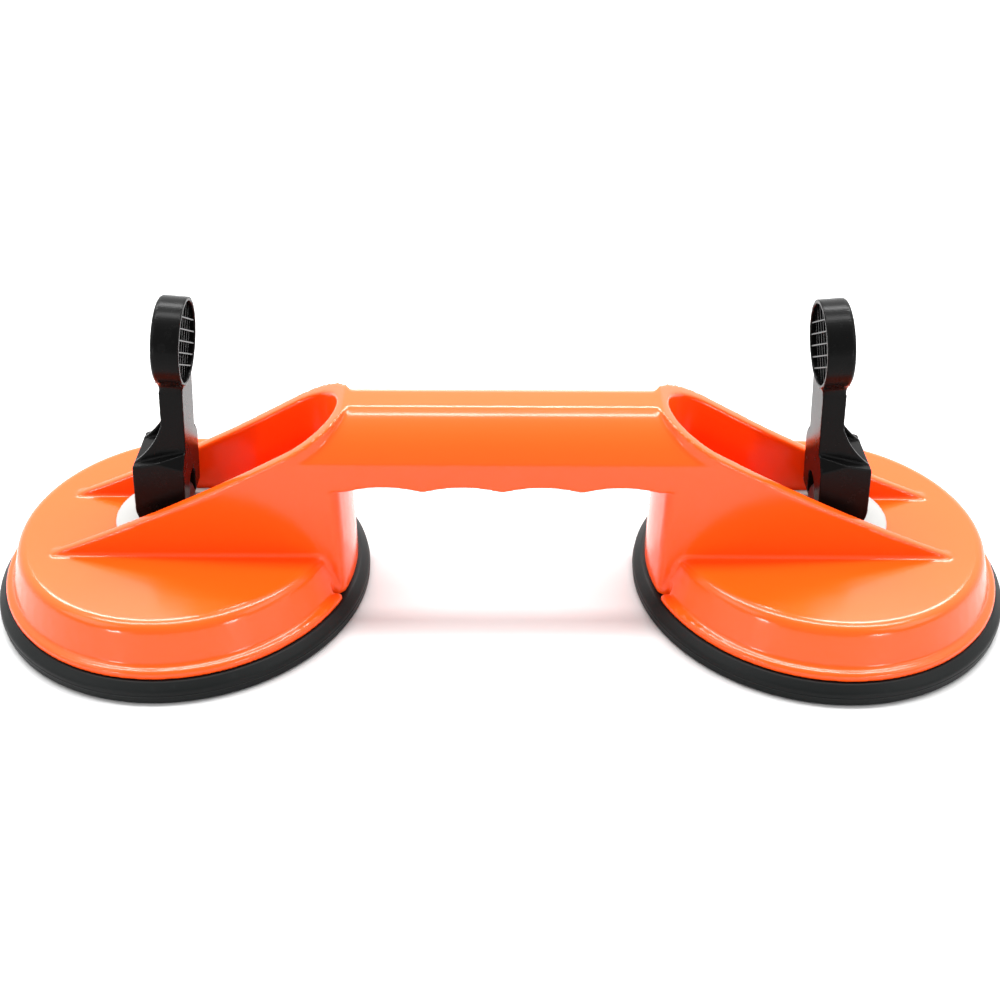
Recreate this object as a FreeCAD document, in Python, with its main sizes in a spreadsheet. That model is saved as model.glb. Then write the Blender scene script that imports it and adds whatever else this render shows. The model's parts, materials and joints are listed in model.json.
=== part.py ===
"""Double suction lifter for floor tiles: one moulded frame on two rubber cups, each worked by a cam lever.

Millimetres, +Z up. The origin lies on the floor midway between the cups, with the handle along X.
Every cup has the same set of pieces, and the right-hand set is the left-hand one turned by 180 degrees.
"""
import FreeCAD, Part
import math
import os
import Sketcher

os.makedirs("parts", exist_ok=True)
doc = FreeCAD.newDocument("suction_lifter")

# ---------------------------------------------------------------- driving sizes
SIZES = {
    # rubber pads
    "cup_spacing": 204, "pad_outer": 59, "pad_side": 4.6, "pad_height": 6.7, "pad_web_top": 4.2,
    "pad_web_bottom": 1.8, "seal_width": 7, "seal_chamfer": 0.6, "pad_rib_width": 1.2,
    "pad_rib_height": 0.9, "pad_rib_inner": 16, "pad_rib_pitch": 9,
    # moulded housing over each pad
    "lip_outer": 56, "lip_side": 2.2, "bead_rise": 0.9, "bead_depth": 1.6, "cone_foot": 53.6,
    "deck_height": 22.2, "deck_outer": 49.6, "deck_round": 2.5, "wall": 3, "boss_outer": 9.4,
    "boss_depth": 4,
    # tower that carries the handle, and the open trough in it
    "tower_half": 17, "wall_lean": 2, "tower_tip": 37.3, "tower_end": 55.3, "tower_round": 4.5,
    "rim_end": 54.8,
    "rim_bend": 600, "trough_half": 14, "trough_end": 52.4, "crown_tip": 56.9,
    # handle
    "handle_top": 68.6, "handle_flat_half": 4.2, "handle_edge": 67.5, "handle_edge_half": 7.1,
    "handle_round": 30, "handle_shoulder": 56.8, "handle_bottom": 46.7,
    "finger_pitch": 23.6, "finger_depth": 1.6, "finger_ridge": 1.6, "handle_wall": 3.2, "handle_rib": 2.4,
    # steel backing plate and pull stud
    "plate_outer": 42, "plate_thick": 2, "shank_radius": 6, "eye_round": 5.4, "tongue_half": 4,
    "flange_outer": 9.4, "flange_thick": 2.2, "rivet_radius": 4, "rivet_head": 6, "rivet_head_thick": 1.2,
    "stud_gap": 0.4,
    # return spring
    "spring_wire": 1.6, "spring_mean": 11.5, "spring_turns": 3.5,
    # bearing washer
    "washer_outer": 19.5, "washer_half": 13.6, "washer_thick": 3.8,
    # cam lever
    "pin_radius": 2.5, "pin_gap": 0.06, "pin_inset": 1, "cam_low": 5.5, "cam_lift": 5.2, "cam_gap": 0.18,
    "lever_lean": 5, "lever_inner": 5.2, "lever_half": 11.5, "foot_outer_half": 9.8, "neck_half": 7.3,
    "neck_outer": 1.7, "ledge_half": 8.6, "ledge_inner": 23, "ledge_outer": 17.6, "foot_shoulder": 18.8,
    "flare_top": 31.5, "flare_radius": 30, "gusset_thick": 1.3, "head_centre": 56.7, "head_radius": 13,
    "head_inner": 6, "head_outer": 2.2, "head_rim": 1.2, "head_recess": 6.5, "head_ridges": 18,
    "head_ridge_width": 0.7, "head_ridge_height": 0.6, "slot_half": 4.5, "slot_spring": 6.7,
}
sheet = doc.addObject("Spreadsheet::Sheet", "Sizes")
for row, (alias, number) in enumerate(SIZES.items(), start=1):
    sheet.set(f"A{row}", alias)
    sheet.set(f"B{row}", str(number))
    sheet.setAlias(f"B{row}", alias)
doc.recompute()


class Size:
    """A number with its value now and the expression that binds it to the sheet."""

    def __init__(self, value, text):
        self.value = float(value)
        self.text = text

    def __add__(self, other):
        other = number_of(other)
        return Size(self.value + other.value, f"({self.text} + {other.text})")

    def __sub__(self, other):
        other = number_of(other)
        return Size(self.value - other.value, f"({self.text} - {other.text})")

    def __mul__(self, other):
        other = number_of(other)
        return Size(self.value * other.value, f"({self.text} * {other.text})")

    def __truediv__(self, other):
        other = number_of(other)
        return Size(self.value / other.value, f"({self.text} / {other.text})")

    def __neg__(self):
        return Size(-self.value, f"(-{self.text})")

    def root(self):
        return Size(math.sqrt(self.value), f"sqrt({self.text})")

    def sine(self):
        return Size(math.sin(math.radians(self.value)), f"sin({self.text})")

    def cosine(self):
        return Size(math.cos(math.radians(self.value)), f"cos({self.text})")

    def tangent(self):
        return Size(math.tan(math.radians(self.value)), f"tan({self.text})")


def number_of(value):
    return value if isinstance(value, Size) else Size(value, repr(float(value)))


def size(alias):
    return Size(float(sheet.get(alias)), f"Sizes.{alias}")


def leg(hypotenuse, other):
    """The second short side of a right triangle."""
    return (hypotenuse * hypotenuse - other * other).root()


def leg_sum(first, second):
    """The long side of a right triangle."""
    return (first * first + second * second).root()


# ---------------------------------------------------------------- sketching
ROOT_POINT = (-1, 1)
START, END, CENTRE = 1, 2, 3


def pin_point(sketch, geometry, point, x, y):
    """Holds a point of the sketch at x, y from its origin."""
    for kind, length, other_axis in (("DistanceX", x, -2), ("DistanceY", y, -1)):
        if abs(length.value) < 1e-9:
            sketch.addConstraint(Sketcher.Constraint("PointOnObject", geometry, point, other_axis))
            continue
        ends = (*ROOT_POINT, geometry, point) if length.value > 0 else (geometry, point, *ROOT_POINT)
        index = sketch.addConstraint(Sketcher.Constraint(kind, *ends, abs(length.value)))
        bound = length if length.value > 0 else -length
        sketch.setExpression(f"Constraints[{index}]", bound.text)


def new_sketch(body, name, plane, offset=(0, 0, 0)):
    """A sketch on one of the body's origin planes, moved by offset in the sketch's own directions."""
    sketch = body.newObject("Sketcher::SketchObject", name)
    support = next(item for item in body.Origin.OriginFeatures if item.Role == plane)
    sketch.AttachmentSupport = [(support, "")]
    sketch.MapMode = "FlatFace"
    for letter, length in zip("xyz", offset):
        sketch.setExpression(f"AttachmentOffset.Base.{letter}", number_of(length).text)
    return sketch


def add_loop(sketch, corners):
    """A closed loop of corners (x, y) or (x, y, radius, turn), where the last two bend the side that
    follows the corner into an arc: turn 1 is counterclockwise, -1 clockwise, and 2 or -2 the long way."""
    corners = [tuple(number_of(part) for part in corner) for corner in corners]
    first = sketch.GeometryCount
    ends = []
    for index, corner in enumerate(corners):
        following = corners[(index + 1) % len(corners)]
        start = FreeCAD.Vector(corner[0].value, corner[1].value, 0)
        end = FreeCAD.Vector(following[0].value, following[1].value, 0)
        if len(corner) == 2:
            sketch.addGeometry(Part.LineSegment(start, end))
            ends.append((START, END))
            continue
        radius, turn = corner[2], corner[3].value
        towards_centre = math.copysign(1, turn) * (1 if abs(turn) == 1 else -1)
        half = (end - start) * 0.5
        reach = math.sqrt(max(radius.value ** 2 - half.Length ** 2, 0))
        across = FreeCAD.Vector(-half.y, half.x, 0).normalize()
        centre = start + half + across * reach * towards_centre
        circle = Part.Circle(centre, FreeCAD.Vector(0, 0, 1), radius.value)
        angles = [math.atan2(point.y - centre.y, point.x - centre.x) for point in (start, end)]
        if turn < 0:
            angles.reverse()
        if angles[1] <= angles[0]:
            angles[1] += 2 * math.pi
        sketch.addGeometry(Part.ArcOfCircle(circle, *angles))
        ends.append((START, END) if turn > 0 else (END, START))
    count = len(corners)
    for index in range(count):
        following = (index + 1) % count
        joined = (first + index, ends[index][1], first + following, ends[following][0])
        sketch.addConstraint(Sketcher.Constraint("Coincident", *joined))
    for index, corner in enumerate(corners):
        pin_point(sketch, first + index, ends[index][0], corner[0], corner[1])
        if len(corner) > 2:
            bend = Sketcher.Constraint("Radius", first + index, corner[2].value)
            sketch.setExpression(f"Constraints[{sketch.addConstraint(bend)}]", corner[2].text)


def add_circle(sketch, x, y, radius):
    x, y, radius = (number_of(length) for length in (x, y, radius))
    centre = FreeCAD.Vector(x.value, y.value, 0)
    index = sketch.addGeometry(Part.Circle(centre, FreeCAD.Vector(0, 0, 1), radius.value))
    pin_point(sketch, index, CENTRE, x, y)
    bound = sketch.addConstraint(Sketcher.Constraint("Radius", index, radius.value))
    sketch.setExpression(f"Constraints[{bound}]", radius.text)


def half_turn_arc(radius, turn):
    """A hair more than half the chord keeps a half circle solvable."""
    return radius * 1.00001, turn


# ---------------------------------------------------------------- features
def extrude(body, kind, sketch, length=None, middle=False, flipped=False):
    feature = body.newObject(f"PartDesign::{kind}", f"{sketch.Name}_{kind.lower()}")
    feature.Profile = sketch
    feature.SideType = "Symmetric" if middle else "One side"
    feature.Reversed = flipped
    if length is None:
        feature.Type = "ThroughAll"
    else:
        feature.setExpression("Length", length.text)
    return feature


def turn_about_upright(body, kind, sketch):
    """A full turn of the sketch about its own vertical axis."""
    feature = body.newObject(f"PartDesign::{kind}", f"{sketch.Name}_{kind.lower()}")
    feature.Profile = sketch
    feature.ReferenceAxis = (sketch, ["V_Axis"])
    feature.Angle = 360
    return feature


def mirror_left_to_right(body, name, features):
    feature = body.newObject("PartDesign::Mirrored", name)
    feature.Originals = features
    plane = next(item for item in body.Origin.OriginFeatures if item.Role == "YZ_Plane")
    feature.MirrorPlane = (plane, [""])
    body.Tip = feature
    return feature


def place(body, side, height=0, lean=0):
    """Stands a cup's piece on its own axis: side -1 is the left cup, 1 the right one, turned about."""
    along = size("cup_spacing") / 2 * side
    height, lean = number_of(height), number_of(lean)
    facing = 0 if side < 0 else 180
    turned = f"rotation(vector(0; 0; 1); {facing}) * rotation(vector(0; 1; 0); {lean.text})"
    body.setExpression("Placement", f"placement(vector({along.text}; 0; {height.text}); {turned})")


# ---------------------------------------------------------------- places that several pieces share
half_spacing = size("cup_spacing") / 2
deck_under = size("deck_height") - size("wall")
washer_top = size("deck_height") + size("washer_thick")
pin_height = washer_top + size("cam_low")
plate_top = size("pad_web_top") + size("plate_thick")
stud_bore = size("shank_radius") + size("stud_gap")
trough_centre = size("trough_end") - size("trough_half")
SIDES = {"left": -1, "right": 1}


def wall_half(height):
    """Half the width across the tower walls, which lean outwards from the deck up."""
    return size("tower_half") + (height - size("deck_height")) * size("wall_lean").tangent()


beside_walls = wall_half(size("handle_top")) + 1
crown_half = wall_half(size("handle_shoulder"))
crown_centre = size("crown_tip") - crown_half


# ---------------------------------------------------------------- moulded frame
def build_frame():
    """Two shallow housings, the towers that rise from them and the hollow handle, in one moulding."""
    body = doc.addObject("PartDesign::Body", "frame")
    at_cup = (-half_spacing, 0, 0)

    lip_top = size("pad_height") + size("lip_side")
    bead_top = lip_top + size("bead_rise")
    slope_run = size("cone_foot") - size("deck_outer")
    slope_rise = size("deck_height") - bead_top
    slope = leg_sum(slope_run, slope_rise)
    round_inset = size("deck_round")
    dome = new_sketch(body, "housing_dome", "XZ_Plane", at_cup)
    add_loop(dome, [
        (0, size("pad_height")),
        (size("lip_outer"), size("pad_height")),
        (size("lip_outer"), lip_top, size("bead_depth"), 1),
        (size("lip_outer") - size("bead_depth"), bead_top),
        (size("cone_foot"), bead_top),
        (size("deck_outer") + slope_run * round_inset / slope,
         size("deck_height") - slope_rise * round_inset / slope, round_inset * 1.4, 1),
        (size("deck_outer") - round_inset, size("deck_height")),
        (0, size("deck_height")),
    ])
    dome = turn_about_upright(body, "Revolution", dome)

    add_towers(body, dome)

    grip = new_sketch(body, "handle_section", "YZ_Plane")
    add_loop(grip, [
        (-wall_half(size("handle_bottom")), size("handle_bottom")),
        (wall_half(size("handle_bottom")), size("handle_bottom")),
        (crown_half, size("handle_shoulder"), size("handle_round"), 1),
        (size("handle_edge_half"), size("handle_edge")),
        (size("handle_flat_half"), size("handle_top")),
        (-size("handle_flat_half"), size("handle_top")),
        (-size("handle_edge_half"), size("handle_edge"), size("handle_round"), 1),
        (-crown_half, size("handle_shoulder")),
    ])
    extrude(body, "Pad", grip, (half_spacing - crown_centre) * 2, middle=True)

    over = size("handle_top") + 1
    ramp = new_sketch(body, "rim_ramp", "XZ_Plane", at_cup)
    add_loop(ramp, [
        (-size("tower_tip"), size("deck_height"), size("rim_bend"), 1),
        (size("rim_end"), size("handle_top")),
        (size("rim_end"), over),
        (-size("tower_tip") - 1, over),
        (-size("tower_tip") - 1, size("deck_height")),
    ])
    ramp = extrude(body, "Pocket", ramp, beside_walls * 2, middle=True)
    trough = new_sketch(body, "trough", "XY_Plane", (*at_cup[:2], size("deck_height")))
    add_loop(trough, [
        (-size("tower_tip") - 1, -size("trough_half")),
        (trough_centre, -size("trough_half"), *half_turn_arc(size("trough_half"), 1)),
        (trough_centre, size("trough_half")),
        (-size("tower_tip") - 1, size("trough_half")),
    ])
    trough = extrude(body, "Pocket", trough, size("handle_top"), flipped=True)

    hollow = new_sketch(body, "housing_hollow", "XZ_Plane", at_cup)
    add_loop(hollow, [
        (stud_bore, size("pad_height") - 1),
        (size("cone_foot") - size("wall"), size("pad_height") - 1),
        (size("cone_foot") - size("wall"), bead_top),
        (size("deck_outer") - size("wall"), deck_under),
        (size("boss_outer"), deck_under),
        (size("boss_outer"), deck_under - size("boss_depth")),
        (stud_bore, deck_under - size("boss_depth")),
    ])
    hollow = turn_about_upright(body, "Groove", hollow)
    bore = new_sketch(body, "stud_bore", "XY_Plane", (*at_cup[:2], 0))
    add_circle(bore, 0, 0, stud_bore)
    bore = extrude(body, "Pocket", bore, size("deck_height") + 1, flipped=True)
    mirror_left_to_right(body, "both_hollows", [ramp, trough, hollow, bore])

    add_handle_cells(body)
    add_finger_scallops(body)
    return body


def add_towers(body, dome):
    """Walls that lean outwards as they rise and end in an arc about the cup, with a round crown on top."""
    foot = size("pad_height") + size("lip_side") / 2
    along = (size("crown_tip") - size("tower_tip")) / 2 - half_spacing
    walls = new_sketch(body, "tower_walls", "YZ_Plane", (0, 0, along))
    add_loop(walls, [
        (-wall_half(foot), foot),
        (wall_half(foot), foot),
        (wall_half(size("handle_top")), size("handle_top")),
        (-wall_half(size("handle_top")), size("handle_top")),
    ])
    walls = extrude(body, "Pad", walls, size("crown_tip") + size("tower_tip"), middle=True)

    beyond = size("crown_tip") + 1
    corner_y = wall_half(size("handle_bottom")) - size("tower_round")
    corner_x = leg(size("tower_end") - size("tower_round"), corner_y)
    to_arc = size("tower_end") / (size("tower_end") - size("tower_round"))
    ends = new_sketch(body, "tower_ends", "XY_Plane", (-half_spacing, 0, 0))
    add_loop(ends, [
        (corner_x, -corner_y - size("tower_round"), size("tower_round"), 1),
        (corner_x * to_arc, -corner_y * to_arc, size("tower_end"), 1),
        (corner_x * to_arc, corner_y * to_arc, size("tower_round"), 1),
        (corner_x, corner_y + size("tower_round")),
        (corner_x, beside_walls),
        (beyond, beside_walls),
        (beyond, -beside_walls),
        (corner_x, -beside_walls),
    ])
    ends = extrude(body, "Pocket", ends, size("handle_shoulder"), flipped=True)
    crown = new_sketch(body, "tower_crown", "XY_Plane", (-half_spacing, 0, size("handle_shoulder")))
    add_loop(crown, [
        (crown_centre, -beside_walls),
        (beyond, -beside_walls),
        (beyond, beside_walls),
        (crown_centre, beside_walls),
        (crown_centre, crown_half, *half_turn_arc(crown_half, -1)),
        (crown_centre, -crown_half),
    ])
    crown = extrude(body, "Pocket", crown, size("handle_top"), flipped=True)
    mirror_left_to_right(body, "both_towers", [dome, walls, ends, crown])


def add_handle_cells(body):
    """The handle is open below, with cross ribs that stand under the ridges between the fingers."""
    pitch, rib = size("finger_pitch"), size("handle_rib") / 2
    end_wall = half_spacing - size("tower_end") - size("handle_wall")
    inner_half = wall_half(size("handle_bottom")) - size("handle_wall")
    for index, (near, far) in enumerate(((rib, pitch - rib), (pitch + rib, end_wall)), start=1):
        for side, word in ((-1, "left"), (1, "right")):
            middle = (near + far) / 2 * side
            cell = new_sketch(body, f"cell_{word}_{index}", "YZ_Plane", (0, 0, middle))
            add_loop(cell, [
                (-inner_half, size("handle_bottom") - 1),
                (inner_half, size("handle_bottom") - 1),
                (inner_half, size("handle_shoulder") - size("handle_wall") / 2),
                (size("handle_flat_half"), size("handle_top") - size("handle_wall")),
                (-size("handle_flat_half"), size("handle_top") - size("handle_wall")),
                (-inner_half, size("handle_shoulder") - size("handle_wall") / 2),
            ])
            extrude(body, "Pocket", cell, far - near, middle=True)


def add_finger_scallops(body):
    """Four shallow hollows along the underside, one for each finger."""
    depth, pitch, ridge = size("finger_depth"), size("finger_pitch"), size("finger_ridge")
    half_chord = (pitch - ridge) / 2
    radius = (half_chord * half_chord + depth * depth) / (depth * 2)
    scallops = new_sketch(body, "finger_scallops", "XZ_Plane")
    for number in (-2, -1, 0, 1):
        start, end = pitch * number + ridge / 2, pitch * (number + 1) - ridge / 2
        add_loop(scallops, [(start, size("handle_bottom")), (end, size("handle_bottom"), radius, 1)])
    extrude(body, "Pocket", scallops, beside_walls * 2, middle=True)


# ---------------------------------------------------------------- rubber pad and what it is pulled by
def build_pad(name, side):
    """Rubber cup: a thick rim that carries the housing lip, a sealing ring and a thin ribbed web."""
    body = doc.addObject("PartDesign::Body", name)
    seat = size("lip_outer") + size("pad_rib_width") / 4
    web_edge = size("cone_foot") - size("wall") - size("pad_rib_width")
    seal_inner = size("pad_outer") - size("seal_width")
    dimple = size("rivet_head") + size("stud_gap")
    dimple_floor = size("pad_web_top") - size("rivet_head_thick") - size("stud_gap") / 4
    section = new_sketch(body, f"{name}_section", "XZ_Plane")
    corners = [
        (0, size("pad_web_bottom")),
    ]
    for number in range(4):
        inner = size("pad_rib_inner") + size("pad_rib_pitch") * number
        low = size("pad_web_bottom") - size("pad_rib_height")
        corners += [
            (inner, size("pad_web_bottom")),
            (inner, low),
            (inner + size("pad_rib_width"), low),
            (inner + size("pad_rib_width"), size("pad_web_bottom")),
        ]
    corners += [
        (seal_inner - size("pad_web_bottom"), size("pad_web_bottom")),
        (seal_inner, 0),
        (size("pad_outer") - size("seal_chamfer"), 0),
        (size("pad_outer"), size("seal_chamfer")),
        (size("pad_outer"), size("pad_side")),
        (seat, size("pad_height")),
        (web_edge, size("pad_height")),
        (web_edge, size("pad_web_top")),
        (dimple, size("pad_web_top")),
        (dimple, dimple_floor),
        (0, dimple_floor),
    ]
    add_loop(section, corners)
    turn_about_upright(body, "Revolution", section)
    place(body, side)
    return body


def build_backing_plate(name, side):
    """Steel disc that lies on the rubber web and spreads the pull of the stud over it."""
    body = doc.addObject("PartDesign::Body", name)
    outline = new_sketch(body, f"{name}_outline", "XY_Plane", (0, 0, size("pad_web_top")))
    add_circle(outline, 0, 0, size("plate_outer"))
    add_circle(outline, 0, 0, size("rivet_radius"))
    extrude(body, "Pad", outline, size("plate_thick"))
    place(body, side)
    return body


def build_pull_stud(name, side):
    """Turned stud, riveted into the plate, with two flats and a rounded, cross-drilled eye."""
    body = doc.addObject("PartDesign::Body", name)
    eye_top = pin_height + size("eye_round")
    flats_foot = washer_top - size("cam_lift") - size("stud_gap")
    section = new_sketch(body, f"{name}_section", "XZ_Plane")
    add_loop(section, [
        (0, size("pad_web_top") - size("rivet_head_thick")),
        (size("rivet_head"), size("pad_web_top") - size("rivet_head_thick")),
        (size("rivet_head"), size("pad_web_top")),
        (size("rivet_radius"), size("pad_web_top")),
        (size("rivet_radius"), plate_top),
        (size("flange_outer"), plate_top),
        (size("flange_outer"), plate_top + size("flange_thick")),
        (size("shank_radius"), plate_top + size("flange_thick")),
        (size("shank_radius"), eye_top),
        (0, eye_top),
    ])
    turn_about_upright(body, "Revolution", section)

    flats = new_sketch(body, f"{name}_flats", "YZ_Plane")
    beyond = size("shank_radius") + 1
    for sign in (-1, 1):
        add_loop(flats, [
            (size("tongue_half") * sign, flats_foot),
            (beyond * sign, flats_foot),
            (beyond * sign, eye_top + 1),
            (size("tongue_half") * sign, eye_top + 1),
        ])
    extrude(body, "Pocket", flats, beyond * 2, middle=True)

    crown = new_sketch(body, f"{name}_crown", "XZ_Plane")
    add_loop(crown, [
        (-size("eye_round"), pin_height, *half_turn_arc(size("eye_round"), -1)),
        (size("eye_round"), pin_height),
        (beyond, pin_height),
        (beyond, eye_top + 1),
        (-beyond, eye_top + 1),
        (-beyond, pin_height),
    ])
    extrude(body, "Pocket", crown, beyond * 2, middle=True)
    eye = new_sketch(body, f"{name}_eye", "XZ_Plane")
    add_circle(eye, 0, pin_height, size("pin_radius") + size("pin_gap"))
    extrude(body, "Pocket", eye, beyond * 2, middle=True)
    place(body, side)
    return body


def build_spring(name, side):
    """Return spring between the plate and the deck, its end coils ground flat."""
    helix = doc.addObject("Part::Helix", f"{name}_helix")
    rise = deck_under - plate_top
    helix.setExpression("Radius", size("spring_mean").text)
    helix.setExpression("Pitch", (rise / size("spring_turns")).text)
    helix.setExpression("Height", rise.text)
    helix.setExpression("Placement.Base.z", plate_top.text)
    helix.SegmentLength = 1
    wire = doc.addObject("Part::Circle", f"{name}_wire")
    wire.setExpression("Radius", (size("spring_wire") / 2).text)
    middle = f"vector({size('spring_mean').text}; 0; {plate_top.text})"
    wire.setExpression("Placement", f"placement({middle}; rotation(vector(1; 0; 0); 90))")
    coil = doc.addObject("Part::Sweep", f"{name}_coil")
    coil.Sections = [wire]
    coil.Spine = (helix, [])
    coil.Solid = True
    coil.Frenet = True
    space = doc.addObject("Part::Cylinder", f"{name}_space")
    space.setExpression("Radius", (size("spring_mean") + size("spring_wire") * 2).text)
    space.setExpression("Height", rise.text)
    space.setExpression("Placement.Base.z", plate_top.text)
    spring = doc.addObject("Part::Common", name)
    spring.Base = coil
    spring.Tool = space
    place(spring, side)
    return spring


def build_washer(name, side):
    """Nylon bearing washer under the cam, flattened on two sides so that the tower walls hold it."""
    body = doc.addObject("PartDesign::Body", name)
    outline = new_sketch(body, f"{name}_outline", "XY_Plane", (0, 0, size("deck_height")))
    reach = leg(size("washer_outer"), size("washer_half"))
    add_loop(outline, [
        (-reach, -size("washer_half")),
        (reach, -size("washer_half"), size("washer_outer"), 1),
        (reach, size("washer_half")),
        (-reach, size("washer_half"), size("washer_outer"), 1),
    ])
    add_circle(outline, 0, 0, stud_bore)
    extrude(body, "Pad", outline, size("washer_thick"))
    place(body, side)
    return body


def build_pin(name, side):
    """Steel pivot pin, pressed through the lever's cheeks and free in the stud's eye."""
    body = doc.addObject("PartDesign::Body", name)
    outline = new_sketch(body, f"{name}_outline", "XZ_Plane")
    add_circle(outline, 0, 0, size("pin_radius"))
    extrude(body, "Pad", outline, (size("lever_half") - size("pin_inset")) * 2, middle=True)
    place(body, side, pin_height)
    return body


# ---------------------------------------------------------------- cam lever
def build_lever(name, side):
    """Lever with an eccentric cam for a foot and a ribbed round thumb pad for a head.

    It is drawn about the pivot pin, upright, with its inner face towards the handle. The cam is a round
    one whose centre stands off the pin, so the stud rises almost evenly as the lever is laid down.
    """
    body = doc.addObject("PartDesign::Body", name)
    swing = size("lever_lean") + 90
    throw = size("cam_lift") / 2 / (swing / 2).sine()
    cam_x = -(throw * (swing / 2).sine())
    cam_z = throw * (swing / 2).cosine()
    cam_radius = size("cam_low") + size("cam_lift") / 2 - size("cam_gap")
    foot_face = cam_x - cam_radius
    heel_z = cam_z - leg(cam_radius, size("lever_inner") - cam_x)
    profile = new_sketch(body, f"{name}_profile", "XZ_Plane")
    add_loop(profile, [
        (foot_face, cam_z, cam_radius, 1),
        (size("lever_inner"), heel_z),
        (size("lever_inner"), size("head_centre")),
        (-size("neck_outer"), size("head_centre")),
        (-size("neck_outer"), size("flare_top"), size("flare_radius"), -1),
        (foot_face, size("ledge_outer")),
    ])
    extrude(body, "Pad", profile, size("lever_half") * 2, middle=True)

    above = size("head_centre") + 1
    beside = size("lever_half") + 1
    width = beside - size("neck_half")
    for word, sign in (("near", -1), ("far", 1)):
        ledge = new_sketch(body, f"{name}_ledge_{word}", "XZ_Plane", (0, 0, (beside - width / 2) * sign))
        add_loop(ledge, [
            (foot_face - 1, size("ledge_outer")),
            (foot_face, size("ledge_outer")),
            (size("lever_inner"), size("ledge_inner")),
            (size("lever_inner") + 1, size("ledge_inner")),
            (size("lever_inner") + 1, above),
            (foot_face - 1, above),
        ])
        extrude(body, "Pocket", ledge, width, middle=True)
    ledge_slope = (size("ledge_inner") - size("ledge_outer")) / (size("lever_inner") - foot_face)
    ledge_at_neck = size("ledge_inner") - ledge_slope * (size("lever_inner") + size("neck_outer"))
    between = new_sketch(body, f"{name}_between_gussets", "XZ_Plane")
    add_loop(between, [
        (foot_face - 1, size("ledge_outer")),
        (foot_face, size("ledge_outer")),
        (-size("neck_outer"), ledge_at_neck),
        (-size("neck_outer"), above),
        (foot_face - 1, above),
    ])
    extrude(body, "Pocket", between, (size("neck_half") - size("gusset_thick")) * 2, middle=True)

    taper = new_sketch(body, f"{name}_taper", "XY_Plane", (0, 0, -(cam_radius * 2)))
    for sign in (-1, 1):
        add_loop(taper, [
            (foot_face - 1, size("foot_outer_half") * sign),
            (foot_face, size("foot_outer_half") * sign),
            (size("lever_inner"), size("lever_half") * sign),
            (size("lever_inner"), beside * sign),
            (foot_face - 1, beside * sign),
        ])
    extrude(body, "Pocket", taper, above + cam_radius * 2, flipped=True)
    shoulder = new_sketch(body, f"{name}_shoulder", "YZ_Plane")
    for sign in (-1, 1):
        add_loop(shoulder, [
            (size("ledge_half") * sign, size("ledge_inner")),
            (size("lever_half") * sign, size("foot_shoulder")),
            (beside * sign, size("foot_shoulder")),
            (beside * sign, above),
            (size("ledge_half") * sign, above),
        ])
    extrude(body, "Pocket", shoulder, cam_radius * 4, middle=True)
    slot = new_sketch(body, f"{name}_slot", "YZ_Plane")
    add_loop(slot, [
        (-size("slot_half"), -(cam_radius * 2)),
        (size("slot_half"), -(cam_radius * 2)),
        (size("slot_half"), size("slot_spring"), *half_turn_arc(size("slot_half"), 1)),
        (-size("slot_half"), size("slot_spring")),
    ])
    extrude(body, "Pocket", slot, cam_radius * 4, middle=True)
    bore = new_sketch(body, f"{name}_bore", "XZ_Plane")
    add_circle(bore, 0, 0, size("pin_radius"))
    extrude(body, "Pocket", bore, beside * 2, middle=True)
    add_head(body, name)
    place(body, side, pin_height, size("lever_lean"))
    return body


def add_head(body, name):
    """A round head, a little thicker than the neck, cupped on its inner face with ridges round the cup."""
    floor = size("head_inner") - size("head_recess")
    disc = new_sketch(body, f"{name}_head", "YZ_Plane", (0, 0, -size("head_outer")))
    add_circle(disc, 0, size("head_centre"), size("head_radius"))
    extrude(body, "Pad", disc, size("head_inner") + size("head_outer"))
    cup_radius = size("head_radius") - size("head_rim")
    recess = new_sketch(body, f"{name}_recess", "YZ_Plane", (0, 0, floor))
    add_circle(recess, 0, size("head_centre"), cup_radius)
    extrude(body, "Pocket", recess, size("head_recess") + 1, flipped=True)

    ridge = new_sketch(body, f"{name}_ridge", "YZ_Plane", (0, size("head_centre"), floor))
    half_step = number_of(180) / size("head_ridges")
    half_angle = size("head_ridge_width") / 2 / cup_radius * math.degrees(1)
    inner = cup_radius - size("head_ridge_height")
    outer = cup_radius + size("head_rim") / 4
    add_loop(ridge, [
        (reach * angle.cosine(), reach * angle.sine())
        for reach, angle in (
            (inner, half_step - half_angle),
            (outer, half_step - half_angle),
            (outer, half_step + half_angle),
            (inner, half_step + half_angle),
        )
    ])
    ridge_pad = extrude(body, "Pad", ridge, size("head_recess") - size("head_rim") / 4)
    around = body.newObject("PartDesign::PolarPattern", f"{name}_ridges")
    around.Originals = [ridge_pad]
    around.Axis = (ridge, ["N_Axis"])
    around.Angle = 360
    around.setExpression("Occurrences", size("head_ridges").text)
    body.Tip = around


# ---------------------------------------------------------------- assembly, checks and export
pieces = [build_frame()]
for word, side in SIDES.items():
    pieces += [
        build_pad(f"rubber_pad_{word}", side),
        build_backing_plate(f"backing_plate_{word}", side),
        build_pull_stud(f"pull_stud_{word}", side),
        build_spring(f"return_spring_{word}", side),
        build_washer(f"cam_washer_{word}", side),
        build_pin(f"pivot_pin_{word}", side),
        build_lever(f"cam_lever_{word}", side),
    ]
doc.recompute()

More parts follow.
